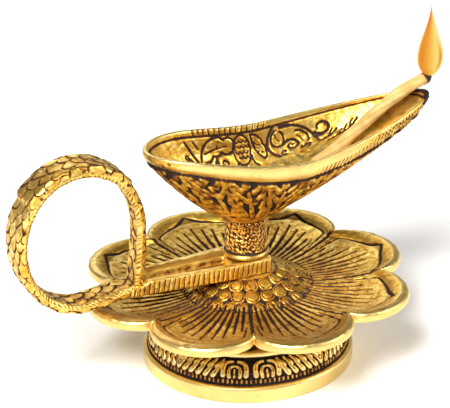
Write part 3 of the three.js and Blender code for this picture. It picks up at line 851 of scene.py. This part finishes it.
def hull_ring(share, wall, bottom, fullness):
    """Plan and height between the base ring, at share 0, and the outline, at share 1, inside by a wall."""
    base = rim_unit * BASE_RADIUS
    plan = base + (rim - rim_out * wall - base) * share
    return plan, bottom + (rim_z - band_z - bottom) * share ** fullness


def inset_plan(inset):
    """The rim's plan moved in by an inset, one number or one for each column."""
    return rim - rim_out * np.broadcast_to(inset, (BOWL_AROUND,))[:, None]


for radius, height in ((0.4, THREAD_TOP), (2.8, THREAD_TOP), (2.8, BOWL_SEAT + 0.3), (3.1, BOWL_SEAT),
                       (8.7, BOWL_SEAT), (9.1, BOWL_SEAT + 0.2), (BASE_RADIUS, BOWL_SEAT + 0.5)):
    add_ring(BOSS, 0, rim_unit * radius, height)
for share in np.linspace(0.02, 1, 58):
    add_ring(OUTER, share, *hull_ring(share * HULL_TOP, 0, BOWL_SEAT + 0.8, OUTSIDE_FULLNESS))
for share in np.linspace(0.05, 1, 15):
    inset = (1 - HULL_TOP) * rim_away * (1 - share) ** 2.2 - 0.35 * math.sin(math.pi * share)
    add_ring(BAND, share, inset_plan(inset), rim_z - (band_z * (1 - share) + 0.5 * share))
for inset, drop in ((0.1, 0.22), (0.3, 0.06), (0.55, 0), (0.85, -0.04), (1.15, 0), (1.45, 0.1), (1.7, 0.3)):
    add_ring(RIM, 0.5, inset_plan(inset), rim_z - drop)
# The inner rings stand closest where the wall turns up behind the band.
for share in np.concatenate([np.linspace(1, 0.85, 27), np.linspace(0.835, 0.01, 41)]):
    plan, height = hull_ring(share * HULL_TOP, BOWL_WALL, BOWL_INSIDE, INSIDE_FULLNESS)
    lift = ease(share, 0.86, 0.14)
    plan += rim_out * (lift * 0.028 * rim_away)[:, None]
    add_ring(INNER, share, plan, height + lift * (band_z - 0.7))
for radius in (6.5, 3.5, 1.0):
    add_ring(BOSS, 0, rim_unit * radius, BOWL_INSIDE - 0.02 * (BASE_RADIUS - radius))
bowl_grid = np.stack(rings)
bowl_grid[..., 0] += STEM_X
bowl_x, bowl_y, bowl_z = bowl_grid[..., 0] - STEM_X, bowl_grid[..., 1], bowl_grid[..., 2]
bowl_share = np.array(shares)[:, None]
outer, band, rim_rows, inner = (np.array(zones)[:, None] == zone for zone in (OUTER, BAND, RIM, INNER))

# How far each point lies below the rim's crest, measured along the wall.
steps = np.linalg.norm(np.diff(bowl_grid, axis=0), axis=2)
climbed = np.concatenate([np.zeros((1, BOWL_AROUND)), np.cumsum(steps, axis=0)])
below = np.abs(climbed - climbed[zones.index(RIM) + 3])
leaf_pitch = rim_walk[-1] / LEAVES


def hull_leaf():
    """One repeat of the outside carving: two rows of plump leaf lobes, which spread from the middle of the
    leaf as they hang from the band, and a curl between leaves. Down the board is down the hull."""
    half = leaf_pitch / 2
    board = blank((-half, half), (0, 26))

    def lobe(points, thin, wide):
        for shift in (-leaf_pitch, 0, leaf_pitch):
            leaning = [(x + 0.22 * (y - 9) + shift, y) for x, y in points]
            stroke(board, "rise", leaning, thin, wide, 0.6)
            stroke(board, "cut", leaning[3:-3], 0.14, 0.3)

    for side in (-1, 1):
        lobe(branch(0, side, (0.9, 2.2), (1.2, 5), (2.4, 8.6)), 1.1, 1.75)
        lobe(branch(0, side, (2.8, 2.4), (3.8, 4.4), (5.8, 6.6)), 1.1, 1.75)
        lobe(branch(0, side, (1, 9.4), (1.2, 12), (2.8, 15)), 1.3, 1.9)
        lobe(branch(0, side, (3.4, 8.6), (4.6, 10.4), (6.4, 12.4)), 1.2, 1.8)
        lobe(branch(0, side, (1.4, 15.8), (1.8, 18), (4, 21.6)), 1.5, 2.3)
    lobe(bend((half, 7.4), (half, 9.6), (half, 12.8)), 1.1, 1.7)
    lobe(bend((0, 16.6), (0, 19), (0, 23.4)), 1.3, 2.2)
    lobe(bend((half, 14), (half, 16.4), (half, 20.5)), 1.3, 2.2)
    lobe(curl((half, 3.4), 1.8, 1.2, 0.3), 0.95, 0.8)
    return board


def inside_scrolls():
    """The inside carving against the distance along the bowl and the distance below the rim: straight
    grooves at the back, a lobed leaf, a scaly bud, a second leaf, a great arc with a spiral in it, a loop on
    a branch and twigs that run out to the plain spout."""
    board = blank((-46, 84), (0, 36))

    def sweep(a, b, c, start_width, end_width):
        stroke(board, "cut", bend(a, b, c), start_width, end_width)

    def spiral(centre, radius, turns, start, start_width, end_width, tail=0.12):
        stroke(board, "cut", curl(centre, radius, turns, start, tail), start_width, end_width)

    def scallops(points, depth):
        """A leaf's lobed edge: a small arc from each point to the next, bulging to the left of travel."""
        for (ax, ay), (bx, by) in zip(points, points[1:]):
            middle = ((ax + bx) / 2 + depth * (by - ay), (ay + by) / 2 - depth * (bx - ax))
            stroke(board, "cut", bend((ax, ay), middle, (bx, by), steps=8), 0.42, 0.5)

    stroke(board, "cut", [(-17.6, 5.4), (-11.2, 16)], 0.42, 0.6)
    stroke(board, "cut", [(-13.6, 5.6), (-11.6, 8.6)], 0.34, 0.42)
    spiral((-17, 11.6), 1.5, 1.1, 0.1, 0.4, 0.3)
    sweep((-16.4, 12), (-14.6, 14), (-13, 17), 0.4, 0.5)
    # The first leaf: its back, its lobed top and two veins.
    sweep((-10.6, 16.6), (-11.4, 7), (-4.2, 4.6), 0.55, 0.5)
    scallops([(-4.2, 4.6), (0.2, 5.6), (3.2, 5), (5, 8.4), (3, 10.8), (-1, 10.4), (-5, 11.8),
              (-9.4, 14.6)], 0.34)
    sweep((-8.8, 10.8), (-3.6, 8.8), (1.6, 8), 0.34, 0.22)
    sweep((-3.4, 8.9), (-2.2, 7.4), (-2.4, 6.2), 0.26, 0.2)
    # A curl that rolls under the leaf.
    spiral((-0.6, 15), 2.9, -1.25, 0.55, 0.58, 0.34)
    sweep((-3.6, 17.8), (-5.6, 15), (-3.2, 12.6), 0.5, 0.4)
    sweep((2.6, 18.6), (4.8, 17.4), (5.2, 14.8), 0.46, 0.36)
    # The bud: a lumpy oval with scales in it.
    bud_turns = [k * math.pi / 5 for k in range(11)]
    scallops([(7.8 + 3.5 * math.sin(turn), 10.4 - 6.2 * math.cos(turn)) for turn in bud_turns], 0.22)
    for row in range(4):
        for k in range(-1, 2):
            x = 7.8 + 1.8 * k + 0.9 * (row % 2)
            y = 6.6 + 2.1 * row
            sweep((x - 0.8, y), (x, y + 1.7), (x + 0.8, y), 0.26, 0.28)
    sweep((7.8, 16.6), (8.4, 18.4), (10.4, 19.6), 0.5, 0.4)
    # The second leaf leans to the right under the great arc.
    sweep((12.2, 4.8), (12.6, 10.4), (16.4, 16.4), 0.5, 0.42)
    scallops([(12.2, 4.8), (15.4, 6.4), (16.8, 9.2), (17.8, 12.6), (16.4, 16.4)], 0.3)
    sweep((13.2, 8), (14.4, 9.4), (15.8, 9.6), 0.28, 0.22)
    sweep((13.8, 11.4), (15, 12.6), (16.6, 12.8), 0.28, 0.22)
    sweep((11.6, 13), (11, 16.2), (13.6, 18.6), 0.5, 0.34)
    # The great arc, the lobed leaf in its hollow, and the spiral.
    sweep((21.8, 4.2), (15.2, 11.4), (22.4, 18.8), 0.72, 0.5)
    scallops([(22.8, 5.6), (20.6, 8.8), (21.4, 12), (24.2, 12.6), (25.6, 9.6), (24.4, 6.6)], -0.3)
    sweep((22.2, 7.2), (22.4, 9.4), (23.8, 10.6), 0.3, 0.22)
    spiral((28.2, 14.2), 3.7, 1.5, 0.58, 0.66, 0.4)
    spiral((24.6, 17), 1.8, 1.1, 0.2, 0.44, 0.32)
    spiral((33.6, 17.2), 2.2, -1.2, 0.5, 0.5, 0.34)
    # The long arc that closes the spiral's field and carries the loop.
    sweep((24.6, 4.8), (36.8, 4.2), (38.8, 17.6), 0.72, 0.5)
    scallops([(30.6, 8), (33.6, 9.4), (35.2, 12.2), (34.4, 14.8)], 0.3)
    sweep((31, 10), (32.6, 11.2), (33, 13.2), 0.3, 0.22)
    spiral((41, 9.8), 3.4, -0.95, 0.42, 0.66, 0.46, tail=0.55)
    sweep((38.4, 13.2), (40.6, 14.6), (42.2, 12), 0.5, 0.34)
    # Twigs, then the plain spout.
    sweep((38.8, 17.6), (42.6, 17), (46.4, 12.6), 0.62, 0.36)
    sweep((43.2, 16.4), (43, 13.8), (44.6, 12), 0.44, 0.28)
    sweep((42, 19.4), (48.8, 17.4), (54.6, 10.4), 0.56, 0.4)
    for k in range(3):
        x, y = 2.4 * k, -1.7 * k
        sweep((46.4 + x, 17.2 + y), (46.6 + x, 15.2 + y), (48.2 + x, 13.6 + y), 0.4, 0.26)
    return board


leaf = hull_leaf()
leaf_x = (((rim_turn / leaf_pitch + 0.5) % 1.0 - 0.5) * leaf_pitch)[None, :] + 0 * below
below_band = np.clip(below - (below * band).max(axis=0), 0, None)
leaf_shown = outer * ease(bowl_share, 0.03, 0.06) * ease(below_band, 23.5, -3.0)
lobes_raised = read_board(leaf, "rise", leaf_x, below_band)
hull_cut = leaf_shown * unit(1.0 - 1.9 * lobes_raised + 0.6 * read_board(leaf, "cut", leaf_x, below_band))
under_line = outer * (bell(below_band, 0.35, 0.4) + 0.8 * bell(below_band, 1.6, 0.3))
braid_wave = np.cos(FULL_TURN * (rim_turn[None, :] / 1.9 + np.sign(bowl_y) * 1.1 * bowl_share))
braid_top = 0.55 + 0.4 * ease(bowl_x, 35, 25)
braid = unit(braid_wave) ** 1.5 * band * ease(bowl_x, 17, 8) * ease(bowl_share, braid_top, -0.12)
# Milled strokes cross the far half of the rim, beside the stem.
milled = unit(np.cos(FULL_TURN * rim_turn / 2.5))[None, :] ** 4 * (rim_rows | (inner & (below < 3.1)))
milled = milled * ease(bowl_x, -16, 3) * ease(bowl_x, 22, -3) * (bowl_y > 0)
scroll_cut = read_board(inside_scrolls(), "cut", bowl_x, below) * inner * ease(below, 3.7, 0.4)
border = inner * (bell(below, 3.5, 0.42) + 0.7 * bell(below, 1.6, 0.3) * ease(bowl_x, 30, 6))
rough_end = ease(bowl_x, -30, -6) * (band | outer)
spout_end = ease(bowl_x, 34, 22) * band
spout_grain = grain(bowl_grid, 1.5, 57)
bowl_depth = (0.8 * leaf_shown * (1 - lobes_raised) + 0.2 * hull_cut + 0.35 * under_line + 0.42 * braid
              + 0.4 * milled + 0.5 * scroll_cut + 0.3 * border)
bowl_depth += 0.1 * grain(bowl_grid, 2.4, 51) * (outer + rough_end + inner * 0.6)
bowl_depth += 0.04 * grain(bowl_grid, 1.0, 52) * inner + 0.12 * spout_end * spout_grain
bowl_patina = (0.8 * hull_cut + 0.95 * unit(under_line) + 0.6 * braid + 0.7 * milled + 1.1 * scroll_cut
               + 0.75 * unit(border))
bowl_patina += outer * (0.24 + 0.2 * np.clip(grain(bowl_grid, 3.5, 53), -1, 1))
bowl_patina += spout_end * np.clip(0.14 + 0.4 * spout_grain, 0, 0.7)
bowl_patina += rough_end * (0.12 + 0.35 * unit(grain(bowl_grid, 1.6, 54)))
bowl_patina += inner * (0.14 + 0.12 * grain(bowl_grid, 4.5, 55))
# Soot: the outer edge of the spout's tip, under the flame.
soot_start = BOWL_SPOUT - 8.0
soot = ease(bowl_x + 1.2 * grain(bowl_grid, 5.0, 56), soot_start, 5.0) * (rim_rows | band)
bowl_patina += 1.1 * soot * ease(rim_z - bowl_z + 0.12 * (bowl_x - soot_start), -0.3, 1.2)
bowl = casting("oil_bowl_casting", bowl_grid, bowl_depth, bowl_patina, wraps=False)
place_casting(bowl, "oil_bowl", "gold_plated_brass_chased", "#f0cd66", "#d2a43e", 0.26, 0.6)


# ---------------------------------------- bolt, washers
# Bought steel fasteners under the deck, inside the foot. They keep their zinc plating: a dull grey with a
# slightly mottled, spangled look.
zinc, zinc_tree, zinc_shader = new_material("zinc_plated_steel")
zinc_place = node(zinc_tree, "ShaderNodeTexCoord").outputs["Object"]
spangle = node(zinc_tree, "ShaderNodeTexVoronoi", {"Vector": zinc_place}, Scale=900.0).outputs["Distance"]
wire(zinc_tree, zinc_shader, {"Base Color": ramp(zinc_tree, spangle, (0.1, "#8f949a"), (0.7, "#b9bcc0")),
                              "Roughness": respan(zinc_tree, spangle, 0.0, 1.0, 0.3, 0.5)})
zinc_shader.inputs["Metallic"].default_value = 1.0
for name in ("tie_bolt", "flat_washer", "lock_washer"):
    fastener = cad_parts[name]
    fastener.data.materials.clear()
    fastener.data.materials.append(zinc)


# ---------------------------------------- wick
# A ready-made cotton wick: combed fibre rolled hard by hand, cream where it is dry, yellow where oil has
# climbed, and burnt to a small black hook at the lit end. It is short and stiff, and lies in the spout.
WICK_RADIUS, WICK_LENGTH = 2.45, 61.0
WICK_STATIONS, WICK_AROUND = 330, 72
WICK_START, WICK_PAST_SPOUT = 30.0, 3.5
WICK_REST_GAP, WICK_LIP_GAP = 0.6, 1.8

wick_run = BOWL_SPOUT + WICK_PAST_SPOUT - WICK_START
spout_climb = RIM_LOW + RIM_LIFT_SPOUT - band_height(BOWL_SPOUT) - BOWL_INSIDE
start_share = (WICK_START - BASE_RADIUS) / (BOWL_SPOUT - BOWL_WALL - BASE_RADIUS)
wick_rest = BOWL_INSIDE + spout_climb * start_share ** INSIDE_FULLNESS + WICK_RADIUS + WICK_REST_GAP
wick_tip = RIM_LOW + RIM_LIFT_SPOUT + WICK_RADIUS + WICK_LIP_GAP
wick_start = np.array([STEM_X + WICK_START, 1.0, wick_rest])
wick_low = wick_start + [0.3 * wick_run, 0, 0.22 * (wick_tip - wick_rest)]
wick_end = np.array([STEM_X + WICK_START + wick_run, 2.5, wick_tip])
wick_high = wick_end - [0.33 * wick_run, 0, 0.8]
t = np.linspace(0, 1, WICK_STATIONS)[:, None]
wick_line = ((1 - t) ** 3 * wick_start + 3 * t * (1 - t) ** 2 * wick_low + 3 * t ** 2 * (1 - t) * wick_high
             + t ** 3 * wick_end)
# The burnt end curls up into the flame.
wick_line = wick_line + np.array([-0.3, 0.0, 1.6]) * ease(t, 0.92, 0.08)
wick_heading = np.gradient(wick_line, axis=0)
wick_heading /= np.linalg.norm(wick_heading, axis=1, keepdims=True)
wick_across = np.cross(wick_heading, [0, 0, 1.0])
wick_across /= np.linalg.norm(wick_across, axis=1, keepdims=True)
wick_up = np.cross(wick_across, wick_heading)
turn_at, length_at = around(WICK_AROUND)[None, :], WICK_LENGTH * t
taper = 1 - 0.62 * ease(t, 0.93, 0.07) ** 1.3
blunt = np.sqrt(np.clip(t / 0.012, 0.05, 1))
wobble = 1 + 0.03 * np.sin(length_at / 5.5) + 0.025 * np.sin(length_at / 2.3 + 1.0)
creases = np.abs(np.sin(turn_at * 3 + FULL_TURN * length_at / 26.0)) ** 0.6
fibres = np.sin(turn_at * 17 + FULL_TURN * length_at / 9.0 + 1.5 * np.sin(length_at / 3.0))
burnt = ease(t, 0.925, 0.04)
char_lumps = burnt * (np.sin(7 * turn_at + length_at * 3.1) + np.sin(4 * turn_at - length_at * 5.3))
wick_reach = WICK_RADIUS * taper * blunt * wobble * (0.94 + 0.05 * creases)
wick_reach += 0.035 * fibres + 0.12 * char_lumps
wick_grid = (wick_line[:, None, :] + wick_across[:, None, :] * (np.cos(turn_at) * wick_reach)[..., None]
             + wick_up[:, None, :] * (np.sin(turn_at) * wick_reach)[..., None])
wick = make_shell("rolled_cotton_wick", wick_grid, False,
                  {"char": burnt + 0.25 * ease(t, 0.9, 0.04) + 0 * turn_at,
                   "crease_shade_and_fibre": 0.5 * (1 - creases) + 0.1 * (1 + fibres)})

cotton, cotton_tree, cotton_shader = new_material("rolled_cotton_with_oil")
# Oil stains are about 6 mm across; single fibres and their fluff are a third of a millimetre.
oil, fluff = noise(cotton_tree, 160.0, 3.0), noise(cotton_tree, 3500.0)
stained = ramp(cotton_tree, oil, (0.35, "#c39a50"), (0.62, "#dcbd7c"))
# Painted shade: the troughs of the twist are darkened towards brown as if shadowed, and the fibres add a fine
# streaking.
shaded = blend(cotton_tree, {"Factor": painted(cotton_tree, "crease_shade_and_fibre"), "A": stained}, B=linear("#9a7436"))
burn = ramp(cotton_tree, painted(cotton_tree, "char"), (0.0, "#ffffff"), (0.3, "#8a5a2a"), (0.6, "#0d0a08"))
fuzz = node(cotton_tree, "ShaderNodeBump", {"Height": fluff}, Strength=0.6, Distance=0.00015)
wire(cotton_tree, cotton_shader, {
    "Base Color": blend(cotton_tree, {"A": shaded, "B": burn}, blend_type="MULTIPLY", Factor=1.0),
    "Normal": fuzz.outputs["Normal"]})
cotton_shader.inputs["Roughness"].default_value = 0.9
cotton_shader.inputs["Subsurface Weight"].default_value = 0.15
cotton_shader.inputs["Subsurface Scale"].default_value = 0.001
wick.data.materials.append(cotton)
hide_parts("wick")
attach(wick, "wick_body")


# ---------------------------------------- flame
# The flame is a drop of glowing gas that hangs on the burnt end of the wick and goes with it: a faint orange
# skin, a yellow body and a darker orange heart above the wick.
FLAME_FOOT = wick_end + [-1.2, 0.0, -0.4]
FLAME_HEIGHT = 32.0
FLAME_LEAN = 0.5
FLAME_TURN = math.radians(24.5)


def flame_drop(name, height, radius, foot_rise, opacity):
    """A closed drop: round at the bottom, widest a quarter of the way up, and drawn to a thin leaning tip.
    Warmth is 0 in the yellow middle and 1 at the orange edges, the tip and the streak above the wick."""
    up_share = np.linspace(0.004, 0.998, 110)[:, None]
    turn = around(96)[None, :]
    swell = radius * up_share ** 0.75 * (1 - up_share) ** 2 / 0.2
    lean = FLAME_LEAN * (np.sin(2.6 * up_share - 0.5) - 0.4 * up_share)
    sideways = np.cos(turn - FLAME_TURN)
    grid = np.stack([FLAME_FOOT[0] + lean + swell * np.cos(turn), FLAME_FOOT[1] + 0.8 * swell * np.sin(turn),
                     FLAME_FOOT[2] + foot_rise + height * up_share + 0 * turn], axis=-1)
    streak = bell(sideways, -0.25 + 0.35 * np.sin(5.0 * up_share), 0.22) * bell(up_share, 0.26, 0.2)
    edge = np.abs(sideways - 0.15) ** 2.2
    warmth = 0.55 * edge + 0.85 * streak + 0.3 * ease(up_share, 0.55, 0.5)
    drop = make_shell(name, grid, False, {"warmth": warmth})
    glow, tree, shader = new_material(name + "_glow")
    tree.nodes.remove(shader)
    colour = ramp(tree, painted(tree, "warmth"), (0.0, "#fff0a8"), (0.28, "#ffd45c"), (0.6, "#fba832"),
                  (1.0, "#dc5f16"))
    light = node(tree, "ShaderNodeEmission", {"Color": colour}, Strength=0.95)
    clear = node(tree, "ShaderNodeBsdfTransparent")
    mixed = node(tree, "ShaderNodeMixShader", {1: clear.outputs[0], 2: light.outputs[0]}, Fac=opacity)
    wire(tree, tree.nodes["Material Output"], {"Surface": mixed.outputs[0]})
    drop.data.materials.append(glow)
    drop.parent = wick


flame_drop("flame_skin", FLAME_HEIGHT, 5.9, 0.0, 0.22)
flame_drop("flame_body", FLAME_HEIGHT - 1.0, 5.1, 0.4, 0.9)


# ---------------------------------------- stage
# A pale paper table in a soft studio: a key light above on the left, a weaker fill on the right, a faint light
# behind, and a room that is dim overhead, so the brass has something dark to show.
FLOOR_HALF = 3
ROOM_STRENGTH = 0.62
MIDDLE = (0.0, 0.0, 0.06)

floor_mesh = bpy.data.meshes.new("table_top")
floor_corners = [(x * FLOOR_HALF, y * FLOOR_HALF, 0) for x, y in ((-1, -1), (1, -1), (1, 1), (-1, 1))]
floor_mesh.from_pydata(floor_corners, [], [(0, 1, 2, 3)])
floor = add_object("table_top", floor_mesh)
paper, paper_tree, paper_shader = new_material("white_table")
paper_colour = ramp(paper_tree, noise(paper_tree, 30.0), (0.3, "#f6f5f3"), (0.7, "#fbfaf8"))
wire(paper_tree, paper_shader, {"Base Color": paper_colour})
paper_shader.inputs["Roughness"].default_value = 0.95
floor_mesh.materials.append(paper)


def soft_light(name, place, wide, tall, power):
    """A rectangular softbox at a place, turned to face the lamp. Lengths in metres and power in watts."""
    data = bpy.data.lights.new(name, "AREA")
    data.shape = "RECTANGLE"
    data.size, data.size_y = wide, tall
    data.energy = power
    light = add_object(name, data)
    light.location = place
    light.rotation_mode = "QUATERNION"
    light.rotation_quaternion = (Vector(MIDDLE) - Vector(place)).to_track_quat("-Z", "Y")


soft_light("key_softbox", (-0.95, -0.9, 1.4), 0.7, 0.7, 63.0)
soft_light("fill_softbox", (1.3, -0.8, 0.9), 0.5, 0.9, 16.0)
soft_light("back_softbox", (0.3, 1.5, 1.1), 1.2, 0.4, 6.0)

world = bpy.data.worlds.new("studio_room")
world.use_nodes = True
world_tree = world.node_tree
direction = node(world_tree, "ShaderNodeTexCoord").outputs["Generated"]
upward = node(world_tree, "ShaderNodeSeparateXYZ", {"Vector": direction}).outputs["Z"]
room = ramp(world_tree, upward, (0.0, "#ffffff"), (0.12, "#f0eeea"), (0.4, "#a5a29e"), (1.0, "#56534f"))
wire(world_tree, world_tree.nodes["Background"], {"Color": room})
world_tree.nodes["Background"].inputs["Strength"].default_value = ROOM_STRENGTH
bpy.context.scene.world = world
